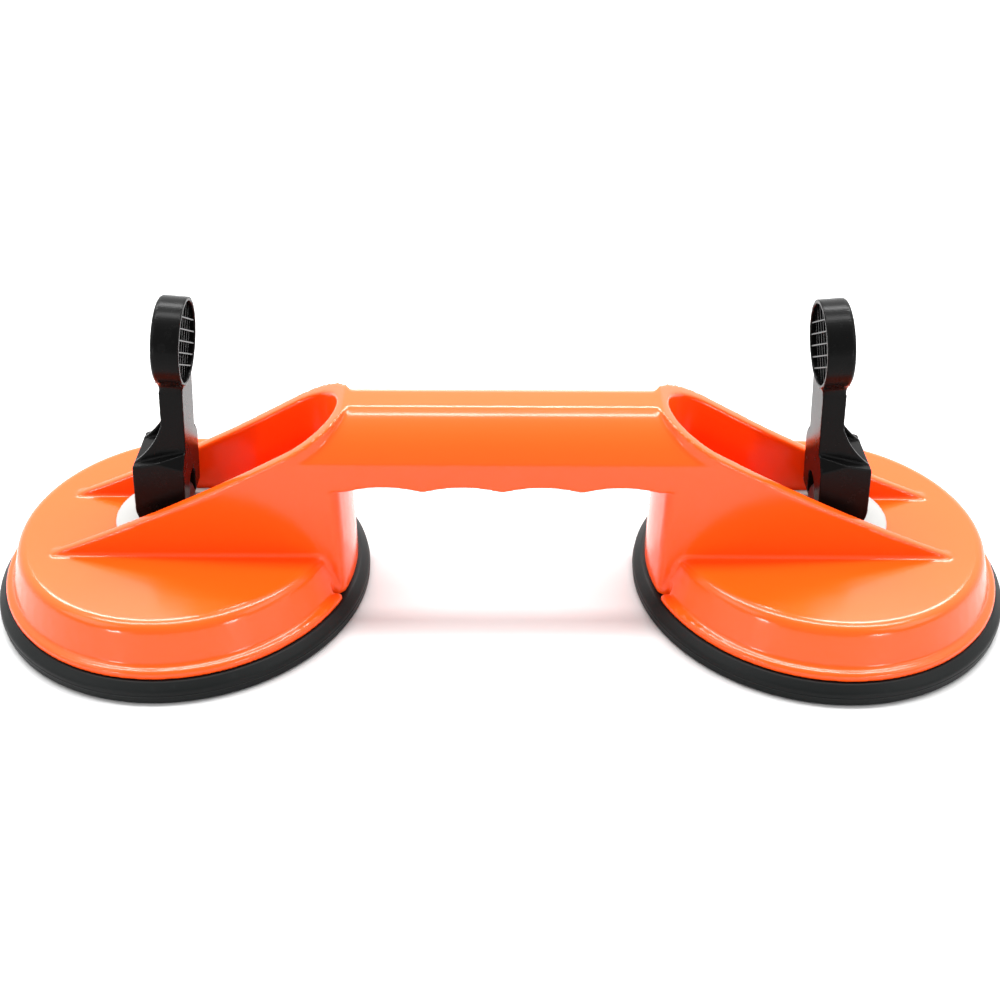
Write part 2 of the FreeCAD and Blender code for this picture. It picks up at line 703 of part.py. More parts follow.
for item in doc.Objects:
    if "Invalid" in item.State or "Error" in item.State:
        raise RuntimeError(f"{item.Label}: {item.State}")
for piece in pieces:
    shape = piece.Shape
    if shape.isNull() or not shape.isValid() or not shape.Solids:
        raise RuntimeError(f"{piece.Label} has no valid solid")
    shape.exportStep(f"parts/{piece.Label}.step")
    box = shape.BoundBox
    print(f"{piece.Label}: {len(shape.Solids)} solid, {shape.Volume:.0f} mm3, "
          f"z {box.ZMin:.2f} to {box.ZMax:.2f}, {box.XLength:.1f} x {box.YLength:.1f}")
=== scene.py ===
# %% [markdown]
# # A double suction lifter, dressed
#
# The object is a lifter for floor tiles: an orange moulded frame on two rubber cups, with a black lever on
# each. The engineering model gives every piece its shape and place, so this lesson starts from it and adds
# what makes plastic, rubber and steel look real: rounded edges, mould marks, gloss and wear.

# %% Load the engineering model
import json
import math
import bmesh
import bpy
from mathutils import Matrix, Vector


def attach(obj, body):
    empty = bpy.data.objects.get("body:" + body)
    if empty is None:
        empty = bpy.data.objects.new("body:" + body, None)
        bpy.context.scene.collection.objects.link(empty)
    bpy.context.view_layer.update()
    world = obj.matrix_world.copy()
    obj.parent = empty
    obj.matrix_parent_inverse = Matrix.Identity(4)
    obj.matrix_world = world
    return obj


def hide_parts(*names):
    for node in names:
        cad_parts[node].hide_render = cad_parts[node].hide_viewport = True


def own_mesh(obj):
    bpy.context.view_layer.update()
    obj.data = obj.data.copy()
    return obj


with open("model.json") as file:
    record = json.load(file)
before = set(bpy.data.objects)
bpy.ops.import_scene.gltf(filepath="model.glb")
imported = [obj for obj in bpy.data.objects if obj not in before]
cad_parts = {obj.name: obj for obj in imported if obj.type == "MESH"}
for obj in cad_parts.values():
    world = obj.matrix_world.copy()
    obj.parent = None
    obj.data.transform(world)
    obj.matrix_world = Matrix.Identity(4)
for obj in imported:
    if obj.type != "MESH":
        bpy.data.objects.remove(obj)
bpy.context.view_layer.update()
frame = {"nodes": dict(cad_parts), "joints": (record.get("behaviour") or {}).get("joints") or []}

MM = 0.001
SIDES = {"left": -1, "right": 1}
HALF_SPACING = 0.102

# %% [markdown]
# ## The camera
#
# The lifter is seen from the front and above, from less than half a metre away. The camera stands almost in
# the middle, so the two cups look alike. A camera looks along its own -Z axis, so the matrix below is made
# of its right, up and backward directions.

# %% Camera
def aim_camera(place, pitch, yaw, roll, lens):
    """A camera at place, looking down by pitch, turned right by yaw and rolled by roll, in degrees."""
    pitch, yaw, roll = (math.radians(angle) for angle in (pitch, yaw, roll))
    forward = Vector((math.sin(yaw) * math.cos(pitch), math.cos(yaw) * math.cos(pitch), -math.sin(pitch)))
    level = Vector((math.cos(yaw), -math.sin(yaw), 0))
    upright = level.cross(forward)
    right = math.cos(roll) * level + math.sin(roll) * upright
    up = math.cos(roll) * upright - math.sin(roll) * level
    data = bpy.data.cameras.new("camera")
    data.lens, data.sensor_width = lens, 36
    camera = bpy.data.objects.new("camera", data)
    bpy.context.scene.collection.objects.link(camera)
    turned = Matrix((right, up, -forward)).transposed().to_4x4()
    camera.matrix_world = Matrix.Translation(place) @ turned
    return camera


camera = aim_camera(place=(-0.0024, -0.3306, 0.2738), pitch=36.26, yaw=0.31, roll=0.40, lens=46.98)
bpy.context.scene.camera = camera
print("camera stands", round(camera.location.length, 3), "m from the middle of the lifter")

# %% [markdown]
# ## Floor and light
#
# A pale floor and big soft lamps give the flat, bright look of a studio. Each lamp is a rectangle, because
# its reflection in glossy plastic then looks like a window. Two long strips lie along the handle, one behind
# it and one overhead, for the long lines of light in its rounded top. Two small windows stand low in front,
# and two large soft boxes stand higher, one on each side.

# %% Floor and lamps
FLOOR_SIDE, FLOOR_GAP = 40, 0.2 * MM
STRIP_AWAY, STRIP_LENGTH, STRIP_WIDTH = 1.2, 1.6, 0.17
LAMP_AWAY = 1.3


def plain_floor(side, height):
    """A square at that height, on which the lifter stands."""
    mesh = bpy.data.meshes.new("floor")
    half = side / 2
    corners = [(-half, -half, height), (half, -half, height), (half, half, height), (-half, half, height)]
    mesh.from_pydata(corners, [], [(0, 1, 2, 3)])
    floor = bpy.data.objects.new("floor", mesh)
    bpy.context.scene.collection.objects.link(floor)
    return floor


def soft_lamp(name, place, target, size, radiance):
    """A rectangle at place that faces target, with power in step with its area and radiance."""
    data = bpy.data.lights.new(name, "AREA")
    data.shape = "RECTANGLE"
    data.size, data.size_y = size
    data.energy = radiance * math.pi * size[0] * size[1]
    lamp = bpy.data.objects.new(name, data)
    bpy.context.scene.collection.objects.link(lamp)
    towards = Vector(target) - Vector(place)
    lamp.matrix_world = Matrix.Translation(place) @ towards.to_track_quat("-Z", "Y").to_matrix().to_4x4()
    return lamp


floor = plain_floor(FLOOR_SIDE, -FLOOR_GAP)
lamps = []
for name, angle, radiance in (("strip_behind", 53, 28), ("strip_overhead", 84, 23)):
    turn = math.radians(angle)
    place = (0, STRIP_AWAY * math.cos(turn), STRIP_AWAY * math.sin(turn))
    lamps.append(soft_lamp(name, place, (0, 0, 0.05), (STRIP_LENGTH, STRIP_WIDTH), radiance))
for name, angle, height, side, radiance in (
    ("window_right", -56, 0.09, 0.12, 45),
    ("window_left", -128, 0.09, 0.12, 45),
    ("softbox_right", -28, 0.9, 0.8, 2.4),
    ("softbox_left", -152, 0.9, 0.8, 2.4),
):
    turn = math.radians(angle)
    place = (LAMP_AWAY * math.cos(turn), LAMP_AWAY * math.sin(turn), height)
    lamps.append(soft_lamp(name, place, (0, 0, 0.02), (side, side), radiance))
print("lamps:", ", ".join(f"{lamp.name} {lamp.data.energy:.1f} W" for lamp in lamps))

# %% [markdown]
# ## The room
#
# The room is bright behind the lifter, like a white sweep, and dimmer on the camera's side. Faces that look
# back and up mirror the bright part, and those that look at the camera stay deep orange. A smooth step from
# the front to the back of the sky does it.

# %% Studio walls
def studio_walls(front, back):
    """A world that is dim on the camera's side and bright behind, as a room with a white sweep."""
    world = bpy.data.worlds.new("studio")
    world.use_nodes = True
    tree = world.node_tree
    direction = tree.nodes.new("ShaderNodeTexCoord")
    split = tree.nodes.new("ShaderNodeSeparateXYZ")
    level = tree.nodes.new("ShaderNodeMapRange")
    level.interpolation_type = "SMOOTHSTEP"
    for socket, number in (("From Min", -0.7), ("From Max", 0.5), ("To Min", front), ("To Max", back)):
        level.inputs[socket].default_value = number
    tree.links.new(direction.outputs["Generated"], split.inputs[0])
    tree.links.new(split.outputs["Y"], level.inputs["Value"])
    tree.links.new(level.outputs[0], tree.nodes["Background"].inputs["Strength"])
    tree.nodes["Background"].inputs["Color"].default_value = (1, 1, 1, 1)
    return world


bpy.context.scene.world = studio_walls(front=0.5, back=1.75)
bpy.context.scene.view_settings.view_transform = "Standard"
print("world:", bpy.context.scene.world.name)

# %% [markdown]
# ## Writing finishes as sums
#
# A finish is a graph of nodes. Wrapping each socket in a small class lets the graph be written as Python
# sums: "mask * 0.2 + 0.3" adds the two Math nodes by itself. Every other node comes from one method, `node`.

# %% Shader helpers
class Value:
    """A number that a node gives out, on which Python's operators add Math nodes."""

    def __init__(self, finish, socket):
        self.finish, self.socket = finish, socket

    def math(self, operation, first, second):
        return self.finish.node("ShaderNodeMath", {"operation": operation}, {0: first, 1: second})

    def __add__(self, other):
        return self.math("ADD", self, other)

    def __mul__(self, other):
        return self.math("MULTIPLY", self, other)

    __radd__, __rmul__ = __add__, __mul__


class Finish:
    """One material and its nodes."""

    def __init__(self, name):
        self.material = bpy.data.materials.new(name)
        self.material.use_nodes = True
        self.tree = self.material.node_tree
        self.shader = self.tree.nodes["Principled BSDF"]
        self.place = self.node("ShaderNodeTexCoord", output="Object")

    def node(self, kind, settings=None, inputs=None, output=0):
        """A node of that kind, with its settings made first and then its sockets filled or linked."""
        made = self.tree.nodes.new(kind)
        for name, setting in (settings or {}).items():
            setattr(made, name, setting)
        for name, given in (inputs or {}).items():
            self.fill(made.inputs[name], given)
        return Value(self, made.outputs[output])

    def fill(self, socket, given):
        if isinstance(given, Value):
            self.tree.links.new(given.socket, socket)
        else:
            socket.default_value = given

    def shade(self, **sockets):
        """Fills the shader's own sockets: base_color is its Base Color, and so on."""
        for name, given in sockets.items():
            self.fill(self.shader.inputs[name.replace("_", " ").title()], given)

    def grain(self, scale, detail=3, roughness=0.5, stretch=(1, 1, 1)):
        """Noise between 0 and 1, with grains a few times smaller than 1 / scale metres."""
        where = self.place
        if stretch != (1, 1, 1):
            where = self.node("ShaderNodeMapping", {}, {"Vector": where, "Scale": stretch})
        settings = {"Vector": where, "Scale": scale, "Detail": detail, "Roughness": roughness}
        return self.node("ShaderNodeTexNoise", {}, settings)

    def steps(self, value, low, high):
        """0 below low, 1 above high and a smooth slope between."""
        settings = {"interpolation_type": "SMOOTHSTEP", "clamp": True}
        return self.node("ShaderNodeMapRange", settings, {"Value": value, "From Min": low, "From Max": high})

    def blend(self, factor, first, second):
        """A colour between two others."""
        first, second = (part if isinstance(part, Value) else (*part, 1) for part in (first, second))
        return self.node("ShaderNodeMix", {"data_type": "RGBA"}, {0: factor, 6: first, 7: second}, output=2)

    def relief(self, height, depth, under=None):
        """Bumps of that depth in metres, where height is 1."""
        inputs = {"Height": height, "Distance": depth, "Strength": 1.0}
        if under is not None:
            inputs["Normal"] = under
        return self.node("ShaderNodeBump", {}, inputs)


# %% [markdown]
# ## Orange plastic, black nylon and rubber
#
# Moulded plastic is never quite one colour: pigment drifts a little through it, and its skin has a faint
# ripple that bends reflections. Noise does both. Scuffs are noise too, drawn out along the tool, and they
# only dull the gloss. Rubber and glass-filled nylon have a fine grain and are paler where they are worn.
# Their specular level is lower than that of the orange plastic, so they mirror less.

# %% Finishes for plastic and rubber
def glossy_orange():
    finish = Finish("glossy_orange")
    cloud = finish.grain(14, detail=2)
    fine = finish.grain(900)
    scuffs = finish.steps(finish.grain(160, detail=4, roughness=0.65, stretch=(1, 4, 1)), 0.62, 0.80)
    colour = finish.blend(cloud, (0.90, 0.075, 0.004), (0.92, 0.084, 0.005))
    skin = finish.relief(cloud, 0.2 * MM)
    finish.shade(base_color=colour, roughness=fine * 0.04 + scuffs * 0.10 + 0.15,
                 normal=finish.relief(fine, 0.004 * MM, skin))
    finish.shader.inputs["Specular IOR Level"].default_value = 0.40
    return finish.material


def black_moulded(name, dark, light, gloss, grain_depth, shine):
    finish = Finish(name)
    fine = finish.grain(1600)
    cloud = finish.grain(40, detail=2)
    worn = finish.steps(finish.grain(220, detail=5, roughness=0.6), 0.58, 0.80)
    colour = finish.blend(worn * 0.5, finish.blend(cloud, dark, light), tuple(2 * part for part in light))
    finish.shade(base_color=colour, roughness=cloud * 0.08 + worn * 0.10 + gloss,
                 normal=finish.relief(fine, grain_depth))
    finish.shader.inputs["Specular IOR Level"].default_value = shine
    return finish.material


def white_nylon():
    finish = Finish("white_nylon")
    cloud = finish.grain(60, detail=2)
    colour = finish.blend(cloud, (0.25, 0.25, 0.24), (0.29, 0.29, 0.28))
    finish.shade(base_color=colour, roughness=cloud * 0.1 + 0.35,
                 normal=finish.relief(finish.grain(1200), 0.01 * MM))
    return finish.material


# %% [markdown]
# ## Plated steel and the floor
#
# Zinc plating and turned steel are metals, so their colour is the colour of what they mirror. Noise that is
# stretched along one axis gives the faint lines that rolling or turning leaves. The floor is white far off
# and grey near the lifter, a painted shade: the black levers mirror the near part, and a white one would
# make them too bright. Every node of the engineering model then gets its finish, those that never show too.

# %% Finishes for metal and floor
def plated_steel(name, colour, gloss, stretch=(1, 1, 1)):
    finish = Finish(name)
    cloud = finish.grain(120, detail=4)
    lines = finish.grain(600, detail=2, stretch=stretch)
    dark = tuple(part * 0.8 for part in colour)
    finish.shade(base_color=finish.blend(cloud, dark, colour), roughness=cloud * 0.15 + gloss,
                 normal=finish.relief(lines, 0.01 * MM))
    finish.shader.inputs["Metallic"].default_value = 1.0
    return finish.material


def pale_floor(grey_until, white_from):
    finish = Finish("pale_floor")
    cloud = finish.grain(3, detail=2)
    away = finish.node("ShaderNodeVectorMath", {"operation": "LENGTH"}, {0: finish.place}, output=1)
    white = finish.blend(cloud, (0.94, 0.94, 0.94), (0.96, 0.96, 0.96))
    # Painted shade: the floor is grey near the lifter, so the black levers mirror less light there.
    far_off = finish.steps(away, grey_until, white_from)
    finish.shade(base_color=finish.blend(far_off, (0.55, 0.55, 0.55), white), roughness=0.85)
    return finish.material


floor.data.materials.append(pale_floor(grey_until=0.35, white_from=1.3))
FINISHES = {
    "frame": glossy_orange(),
    "rubber_pad": black_moulded("black_rubber", dark=(0.003, 0.004, 0.004), light=(0.006, 0.007, 0.007),
                                gloss=0.42, grain_depth=0.03 * MM, shine=0.14),
    "cam_lever": black_moulded("black_nylon", dark=(0.002, 0.002, 0.002), light=(0.004, 0.004, 0.004),
                               gloss=0.22, grain_depth=0.01 * MM, shine=0.07),
    "cam_washer": white_nylon(),
    "backing_plate": plated_steel("zinc_sheet", (0.62, 0.62, 0.60), gloss=0.3, stretch=(1, 8, 1)),
    "pull_stud": plated_steel("turned_steel", (0.11, 0.11, 0.11), gloss=0.35, stretch=(1, 1, 8)),
    "pivot_pin": plated_steel("pin_steel", (0.62, 0.62, 0.62), gloss=0.18, stretch=(1, 8, 1)),
    "return_spring": plated_steel("spring_wire", (0.35, 0.35, 0.36), gloss=0.25),
}
for name, node in frame["nodes"].items():
    kind = name.removesuffix("_left").removesuffix("_right")
    node.data.materials.clear()
    node.data.materials.append(FINISHES[kind])
print("finishes:", ", ".join(sorted(FINISHES)))

# %% [markdown]
# ## Rounded edges
#
# Nothing that comes out of a mould has a sharp edge, and the thin bright lines along a plastic part are the
# lamps mirrored in its rounded edges. Most edges of the engineering solids are sharp. A Bevel modifier could
# round them, but it tears where many edges meet. Here a copy of the solid is remeshed into small even
# squares, pulled back onto the solid so that flat faces stay flat, and relaxed a few times, which rounds
# only the edges. Then Decimate takes away the points that flat faces don't need.

# %% Rounding helpers
MERGE_DISTANCE = 0.002 * MM


def baked(name, mesh, modifiers):
    """The mesh as it is after the modifiers, each a kind with its settings."""
    carrier = bpy.data.objects.new(name + "_carrier", mesh)
    bpy.context.scene.collection.objects.link(carrier)
    for kind, settings in modifiers:
        modifier = carrier.modifiers.new(kind, kind)
        for setting, value in settings.items():
            setattr(modifier, setting, value)
    seen = carrier.evaluated_get(bpy.context.evaluated_depsgraph_get())
    result = bpy.data.meshes.new_from_object(seen)
    bpy.data.objects.remove(carrier)
    result.name = name
    return result


def rounded_copy(name, node, grain, passes, keep):
    """A copy of a node, its edges rounded by about grain millimetres and the share keep of its faces left."""
    shape = bmesh.new()
    shape.from_mesh(node.data)
    bmesh.ops.remove_doubles(shape, verts=shape.verts, dist=MERGE_DISTANCE)
    solid = bpy.data.meshes.new(name + "_solid")
    shape.to_mesh(solid)
    shape.free()
    target = bpy.data.objects.new(name + "_target", solid)
    bpy.context.scene.collection.objects.link(target)
    relaxed = baked(name + "_relaxed", solid.copy(), [
        ("REMESH", {"mode": "VOXEL", "voxel_size": grain * MM}),
        ("SHRINKWRAP", {"target": target, "wrap_method": "NEAREST_SURFACEPOINT"}),
        ("SMOOTH", {"factor": 0.5, "iterations": passes}),
    ])
    bpy.data.objects.remove(target)
    result = baked(name, relaxed, [("TRIANGULATE", {}), ("DECIMATE", {"ratio": keep})])
    result.shade_smooth()
    return baked(name, result, [("WEIGHTED_NORMAL", {"weight": 60})])


def show(name, mesh, finish, body):
    """Puts a finished mesh in the scene, at the origin, on its body."""
    piece = bpy.data.objects.new(name, mesh)
    bpy.context.scene.collection.objects.link(piece)
    mesh.materials.clear()
    mesh.materials.append(FINISHES[finish])
    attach(piece, body)
    print(f"{name}: {len(mesh.vertices)} points, {len(mesh.polygons)} faces")
    return piece

# %% [markdown]
# ## The orange frame
#
# One moulding: two housings, the towers and the hollow handle. No seam parts them, so it could be injected
# in one shot, with cores that shape the troughs from above and the handle's cells from below. It is the
# largest piece, and its edges are rounded by a little more than half a millimetre, as on a moulding of this
# size.

# %% Frame moulding
moulding_mesh = rounded_copy("frame_moulding", frame["nodes"]["frame"], grain=0.6, passes=9, keep=0.34)
moulding = show("frame_moulding", moulding_mesh, "frame", "frame")
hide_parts("frame")

# %% [markdown]
# ## Rubber cups
#
# A rubber cup is turned about its axis, so a section and a lathe make it. Each corner of the section carries
# its own rounding, because moulded rubber is soft at the rim and crisp at the sealing lip. The rounding says
# how far from the corner its curve starts and ends, and takes at most a little less than half of either
# side.

# %% Lathe
MOST_OF_A_SIDE = 0.45


def rounded_section(corners, steps=4):
    """Points (radius, height) of a section in millimetres, from corners (radius, height, rounding)."""
    points = []
    for index, (across, up, rounding) in enumerate(corners):
        corner = Vector((across, up))
        if rounding == 0:
            points.append(corner)
            continue
        before = Vector(corners[index - 1][:2]) - corner
        after = Vector(corners[(index + 1) % len(corners)][:2]) - corner
        start = corner + before.normalized() * min(rounding, before.length * MOST_OF_A_SIDE)
        end = corner + after.normalized() * min(rounding, after.length * MOST_OF_A_SIDE)
        for step in range(steps + 1):
            share = step / steps
            points.append(start.lerp(corner, share).lerp(corner.lerp(end, share), share))
    return points


def lathe(name, section, centre, steps=160):
    """A closed section turned about an upright axis; its ends lie on the axis."""
    shape = bmesh.new()
    rings = []
    for point in section:
        if point.x < 1e-6:
            rings.append([shape.verts.new((centre, 0, point.y * MM))])
            continue
        turns = [2 * math.pi * step / steps for step in range(steps)]
        rings.append([shape.verts.new((centre + point.x * MM * math.cos(turn), point.x * MM * math.sin(turn),
                                       point.y * MM)) for turn in turns])
    for lower, upper in zip(rings, rings[1:]):
        for step in range(steps):
            after = (step + 1) % steps
            corners = [lower[step % len(lower)], lower[after % len(lower)], upper[after % len(upper)],
                       upper[step % len(upper)]]
            shape.faces.new(list(dict.fromkeys(corners)))
    bmesh.ops.recalc_face_normals(shape, faces=shape.faces)
    mesh = bpy.data.meshes.new(name)
    shape.to_mesh(mesh)
    shape.free()
    mesh.shade_smooth()
    return mesh


# %% [markdown]
# ## The section of a cup
#
# From the axis outwards and back along the top: the underside of the web with four round ribs, the sealing
# face, the rim's side with a thin flash line where the two halves of the mould met, the thick rim that
# carries the housing, and the top of the web with a recess for the stud.

# %% Rubber cups
WEB_BOTTOM, WEB_TOP, RECESS = 1.8, 4.2, 2.8
RIB_WIDTH, RIB_DEPTH, RIB_TAPER = 1.2, 0.9, 0.1
PAD = [(0, WEB_BOTTOM, 0)]
for inner in (16, 25, 34, 43):
    outer, tip = inner + RIB_WIDTH, WEB_BOTTOM - RIB_DEPTH
    PAD += [(inner, WEB_BOTTOM, 0.4), (inner + RIB_TAPER, tip, 0.3)]
    PAD += [(outer - RIB_TAPER, tip, 0.3), (outer, WEB_BOTTOM, 0.4)]
PAD += [(50.2, WEB_BOTTOM, 1.2), (52, 0, 0.3), (58.4, 0, 0.5), (58.85, 0.7, 0.5)]
PAD += [(58.88, 2.7, 0.1), (59, 2.85, 0.1), (59, 3.1, 0.1), (58.88, 3.25, 0.1)]
PAD += [(58.85, 4.6, 0.9), (56.4, 6.7, 0.5), (49.4, 6.7, 0.5), (49.4, WEB_TOP, 1.0)]
PAD += [(6.4, WEB_TOP, 0.2), (6.4, RECESS, 0.2), (0, RECESS, 0)]
for side, sign in SIDES.items():
    cup_mesh = lathe(f"rubber_cup_{side}", rounded_section(PAD), sign * HALF_SPACING)
    cup = show(f"rubber_cup_{side}", cup_mesh, "rubber_pad", "frame")
    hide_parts(f"rubber_pad_{side}")

# %% [markdown]
# ## Bearing washers
#
# Each lever's foot turns and slides on a white nylon washer, so that it doesn't wear the housing. The washer
# is small, so a finer grain keeps its rounding to a third of a millimetre.

# %% Washers
for side in SIDES:
    name = f"washer_moulding_{side}"
    washer_mesh = rounded_copy(name, frame["nodes"][f"cam_washer_{side}"], grain=0.35, passes=5, keep=0.4)
    washer = show(name, washer_mesh, "cam_washer", "frame")
    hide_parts(f"cam_washer_{side}")

# %% [markdown]
# ## Return springs
#
# A coil spring stands between each housing and the steel plate in the rubber cup. It lifts nothing: it
# pushes the cup flat again when the lever is let go. As the stud pulls the plate up, the spring is squeezed
# against the housing, which stays where it is. So the spring rides on the frame.

# %% Return springs
STUD_TRAVEL = next(joint["range_m"][1] for joint in frame["joints"] if joint["name"] == "pull_left") / MM
for side in SIDES:
    coil = frame["nodes"][f"return_spring_{side}"].data.copy()
    low, high = (pick(vertex.co.z for vertex in coil.vertices) for pick in (min, max))
    spring = show(f"spring_coil_{side}", coil, "return_spring", "frame")
    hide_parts(f"return_spring_{side}")
    1 - STUD_TRAVEL * MM / (high - low)
    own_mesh(spring)
    print(f"spring_coil_{side}: {(high - low) / MM:.2f} mm long at rest")

# %% [markdown]
# ## Shaping the lever's head
#
# The lever is one nylon moulding, and three places on its head differ from the plain rounding. The back of
# the round head is rounded much more. The wall inside the cup is smooth between the ribs that come later.
# Where the head meets the neck, one flows into the other. Each function moves the points of one such place.
# It works in the lever's own axes, in millimetres: X from the back to the cup, Z from the pivot to the head.

# %% Head helpers
LEAN = math.radians(5)
PIVOT = Vector((-102, 0, 31.5))
HEAD_HEIGHT, HEAD_RADIUS, HEAD_BACK = 56.7, 13.0, 2.2
CUP_RADIUS, CUP_FLOOR, CUP_RIM, CUP_RIDGES = 11.8, -0.5, 6.0, 1
HEAD_BOTTOM, NECK_HALF, NECK_REACH = 43, 7.3, 8
LEVER_GRAIN, TOUCH = 0.3, 0.1
TO_LEVER = Matrix.Rotation(-LEAN, 4, "Y") @ Matrix.Translation(-PIVOT) @ Matrix.Scale(1 / MM, 4)
FROM_LEVER = TO_LEVER.inverted()


def from_head(place):
    """The way from the head's axis to a place, across the axis."""
    return Vector((place.y, place.z - HEAD_HEIGHT))


def at_head(along, across):
    """The point of the mesh that lies that far along the head's axis and across it."""
    return FROM_LEVER @ Vector((along, across.x, across.y + HEAD_HEIGHT))


def round_head_back(mesh, rounding):
    """Moves the outer edge of the head's back onto a quarter circle of that radius."""
    moved = 0
    for vertex in mesh.vertices:
        place = TO_LEVER @ vertex.co
        across = from_head(place)
        past = Vector((rounding - HEAD_BACK - place.x, across.length - HEAD_RADIUS + rounding))
        over = place.z > HEAD_BOTTOM and past.x > 0 and past.y > 0 and past.length > rounding
        if not over or (place.z < HEAD_HEIGHT and abs(place.y) < NECK_REACH):
            continue
        past = past.normalized() * rounding
        across *= (past.y + HEAD_RADIUS - rounding) / across.length
        vertex.co = at_head(rounding - HEAD_BACK - past.x, across)
        moved += 1
    return moved


def smooth_cup(mesh):
    """Moves the ridges inside the head's cup onto a plain cylinder, which the grid of ribs then fills."""
    moved = 0
    for vertex in mesh.vertices:
        place = TO_LEVER @ vertex.co
        across = from_head(place)
        inside = CUP_FLOOR + LEVER_GRAIN < place.x < CUP_RIM + TOUCH
        if inside and CUP_RADIUS - CUP_RIDGES < across.length < CUP_RADIUS:
            vertex.co = at_head(place.x, across * (CUP_RADIUS / across.length))
            moved += 1
    return moved


def soften_throat(mesh, reach, passes):
    """Relaxes the two creases where the head meets the neck, so that one flows into the other."""
    shape = bmesh.new()
    shape.from_mesh(mesh)
    crease = Vector((NECK_HALF, HEAD_HEIGHT - math.sqrt(HEAD_RADIUS ** 2 - NECK_HALF ** 2)))
    near = []
    for vertex in shape.verts:
        place = TO_LEVER @ vertex.co
        outside = from_head(place).length > HEAD_RADIUS - LEVER_GRAIN
        if outside and (Vector((abs(place.y), place.z)) - crease).length < reach:
            near.append(vertex)
    for _ in range(passes):
        bmesh.ops.smooth_vert(shape, verts=near, factor=0.5,
                              use_axis_x=True, use_axis_y=True, use_axis_z=True)
    shape.to_mesh(mesh)
    shape.free()
    return len(near)


# %% [markdown]
# ## Flip levers
#
# The lever's foot is an eccentric cam: laid over, it pushes the pin and the stud up. The right lever is the
# left one turned about, so its mesh is made once. Each rides on its own body and turns about its pin.

# %% Levers
lever_node = frame["nodes"]["cam_lever_left"]
lever_mesh = rounded_copy("flip_lever_left", lever_node, grain=LEVER_GRAIN, passes=5, keep=0.5)
print("points moved on the head's back:", round_head_back(lever_mesh, rounding=1.3))
print("points moved in its cup:", smooth_cup(lever_mesh))
print("points relaxed at its throat:", soften_throat(lever_mesh, reach=2.8, passes=40))
turned_mesh = lever_mesh.copy()
turned_mesh.transform(Matrix.Rotation(math.pi, 4, "Z"))
for side, mesh in (("left", lever_mesh), ("right", turned_mesh)):
    mesh.name = f"flip_lever_{side}"
    lever = show(f"flip_lever_{side}", mesh, "cam_lever", f"lever_{side}")
    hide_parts(f"cam_lever_{side}")

# %% [markdown]
# ## Growing what repeats
#
# Ribs and mould marks repeat by a rule, so Geometry Nodes make them, and a few named numbers change them
# all. The class below shortens the writing of such a tree. Its result is turned into a plain mesh at once.

# %% Tree helpers
class Tree:
    """A Geometry Nodes tree with named inputs."""

    def __init__(self, name, sockets):
        self.group = bpy.data.node_groups.new(name, "GeometryNodeTree")
        self.group.interface.new_socket("Geometry", in_out="OUTPUT", socket_type="NodeSocketGeometry")
        for socket, kind in sockets:
            self.group.interface.new_socket(socket, in_out="INPUT", socket_type=f"NodeSocket{kind}")
        self.given = self.group.nodes.new("NodeGroupInput").outputs

    def add(self, kind, links, settings=None, output=0):
        """A node with its settings, and its sockets linked or filled; gives back one output."""
        node = self.group.nodes.new(kind)
        for name, setting in (settings or {}).items():
            setattr(node, name, setting)
        for name, source in links.items():
            if isinstance(source, bpy.types.NodeSocket):
                self.group.links.new(source, node.inputs[name])
            else:
                node.inputs[name].default_value = source
        return node.outputs[output]

    def math(self, operation, first, second=0.0):
        return self.add("ShaderNodeMath", {0: first, 1: second}, {"operation": operation})

    def vector(self, x=0.0, y=0.0, z=0.0):
        return self.add("ShaderNodeCombineXYZ", {"X": x, "Y": y, "Z": z})

    def finish(self, geometry):
        """Turns and places the geometry, makes it real and gives it its material."""
        placed = self.add("GeometryNodeTransform", {"Geometry": geometry, "Translation": self.given["Centre"],
                                                    "Rotation": self.given["Turn"]})
        real = self.add("GeometryNodeRealizeInstances", {"Geometry": placed})
        done = self.add("GeometryNodeSetMaterial", {"Geometry": real, "Material": self.given["Material"]})
        self.group.links.new(done, self.group.nodes.new("NodeGroupOutput").inputs["Geometry"])
        return self.group


PLACE = (("Centre", "Vector"), ("Turn", "Rotation"), ("Material", "Material"))


def grown(name, group, finish, body, **sizes):
    """A tree's result as a plain mesh on its body; the sizes are its inputs, with spaces as underscores."""
    carrier = bpy.data.objects.new(name + "_carrier", bpy.data.meshes.new(name + "_seed"))
    bpy.context.scene.collection.objects.link(carrier)
    modifier = carrier.modifiers.new("growth", "NODES")
    modifier.node_group = group
    inputs = {item.name: item.identifier for item in group.interface.items_tree if item.in_out == "INPUT"}
    for size, value in {**sizes, "Material": FINISHES[finish]}.items():
        modifier[inputs[size.replace("_", " ")]] = value
    seen = carrier.evaluated_get(bpy.context.evaluated_depsgraph_get())
    mesh = bpy.data.meshes.new_from_object(seen)
    bpy.data.objects.remove(carrier)
    mesh.shade_smooth()
    mesh.set_sharp_from_angle(angle=math.radians(40))
    return show(name, mesh, finish, body)


# %% [markdown]
# ## The grid in each head
#
# The cup of the head is filled with thin ribs that cross in squares, so that the moulding stays thin-walled
# but gives the thumb something to press on. The grid stands askew in the circle, and the ribs of one set are
# thinner and a little lower. Each rib is as long as the chord of the circle where it stands, and its ends go
# a little way into the wall. That is a rule, so Geometry Nodes build it: a line of points, a box on each,
# stretched to 2 * sqrt(r * r - x * x).

# %% Grid of ribs
ASKEW = math.radians(31.5)
RIB_MIDDLE, RIB_ROOT = CUP_RIM - 3.2, 0.3


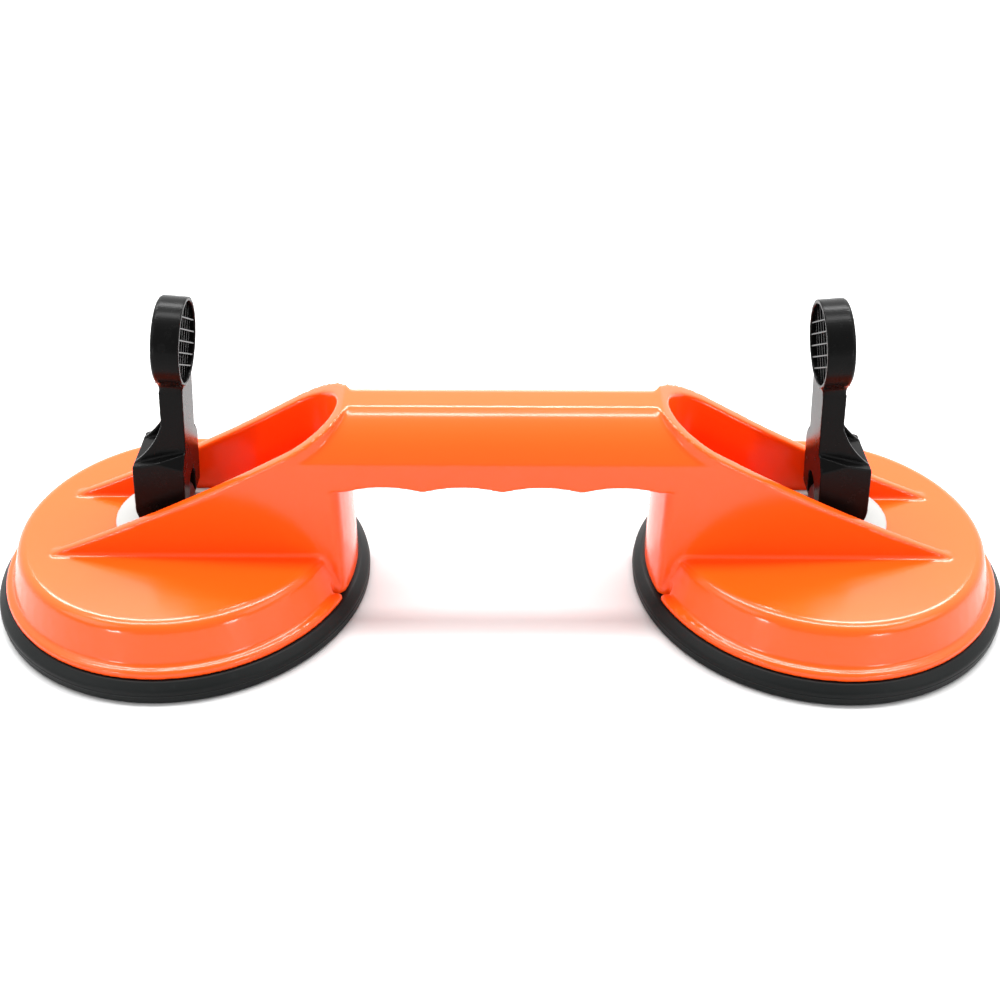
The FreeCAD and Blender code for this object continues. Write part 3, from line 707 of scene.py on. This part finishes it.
def rib_grid_tree():
    tree = Tree("rib_grid", (("Ribs", "Int"), ("Pitch", "Float"), ("Circle Radius", "Float"),
                             ("Rib Thickness", "Float"), ("Rib Depth", "Float"), ("Low Thickness", "Float"),
                             ("Low Drop", "Float"), *PLACE))
    given = tree.given
    gaps = tree.math("SUBTRACT", given["Ribs"], 1.0)
    first = tree.math("MULTIPLY", gaps, tree.math("MULTIPLY", given["Pitch"], -0.5))
    row = tree.add("GeometryNodeMeshLine", {"Count": given["Ribs"], "Start Location": tree.vector(x=first),
                                            "Offset": tree.vector(x=given["Pitch"])})
    across = tree.add("ShaderNodeSeparateXYZ", {"Vector": tree.add("GeometryNodeInputPosition", {})})
    radius_squared = tree.math("POWER", given["Circle Radius"], 2.0)
    square = tree.math("SUBTRACT", radius_squared, tree.math("POWER", across, 2.0))
    chord = tree.math("MULTIPLY", tree.math("SQRT", square), 2.0)
    rib = tree.add("GeometryNodeMeshCube", {"Size": (1.0, 1.0, 1.0)})
    high, low = (tree.add("GeometryNodeInstanceOnPoints", {
        "Points": row, "Instance": rib, "Scale": tree.vector(given[thickness], chord, given["Rib Depth"]),
    }) for thickness in ("Rib Thickness", "Low Thickness"))
    drop = tree.vector(z=tree.math("MULTIPLY", given["Low Drop"], -1.0))
    crossing = tree.add("GeometryNodeTransform", {"Geometry": low, "Translation": drop,
                                                  "Rotation": (0, 0, math.pi / 2)})
    both = tree.group.nodes.new("GeometryNodeJoinGeometry")
    for part in (high, crossing):
        tree.group.links.new(part, both.inputs[0])
    return tree.finish(both.outputs[0])


RIB_GRID = rib_grid_tree()
for side, sign in SIDES.items():
    centre = FROM_LEVER @ Vector((RIB_MIDDLE, 0, HEAD_HEIGHT))
    askew = Matrix.Rotation(sign * ASKEW, 3, "Z")
    facing = Matrix.Rotation(-sign * (math.radians(90) + LEAN), 3, "Y")
    grown(f"head_grid_{side}", RIB_GRID, "cam_lever", f"lever_{side}", Ribs=5, Pitch=3.35 * MM,
          Circle_Radius=(CUP_RADIUS + RIB_ROOT) * MM, Rib_Thickness=0.36 * MM, Rib_Depth=5.8 * MM,
          Low_Thickness=0.3 * MM, Low_Drop=0.7 * MM, Centre=(-sign * centre.x, 0, centre.z),
          Turn=tuple((facing @ askew).to_euler()))

# %% [markdown]
# ## Ejector marks
#
# Pins push a moulding out of its mould and leave round marks where nobody looks: here, a ring of them under
# each housing. A disc on every point of a circle makes them.

# %% Ring of discs
def disc_ring_tree():
    tree = Tree("disc_ring", (("Discs", "Int"), ("Ring Radius", "Float"), ("Disc Radius", "Float"),
                              ("Disc Height", "Float"), *PLACE))
    given = tree.given
    ring = tree.add("GeometryNodeMeshCircle", {"Vertices": given["Discs"], "Radius": given["Ring Radius"]})
    disc = tree.add("GeometryNodeMeshCylinder", {"Vertices": 32, "Radius": given["Disc Radius"],
                                                 "Depth": given["Disc Height"]})
    return tree.finish(tree.add("GeometryNodeInstanceOnPoints", {"Points": ring, "Instance": disc}))


DISC_RING = disc_ring_tree()
for side, sign in SIDES.items():
    grown(f"ejector_marks_{side}", DISC_RING, "frame", "frame", Discs=8, Ring_Radius=31 * MM,
          Disc_Radius=2.5 * MM, Disc_Height=0.5 * MM, Centre=(sign * HALF_SPACING, 0, 19.2 * MM),
          Turn=(0, 0, 0))
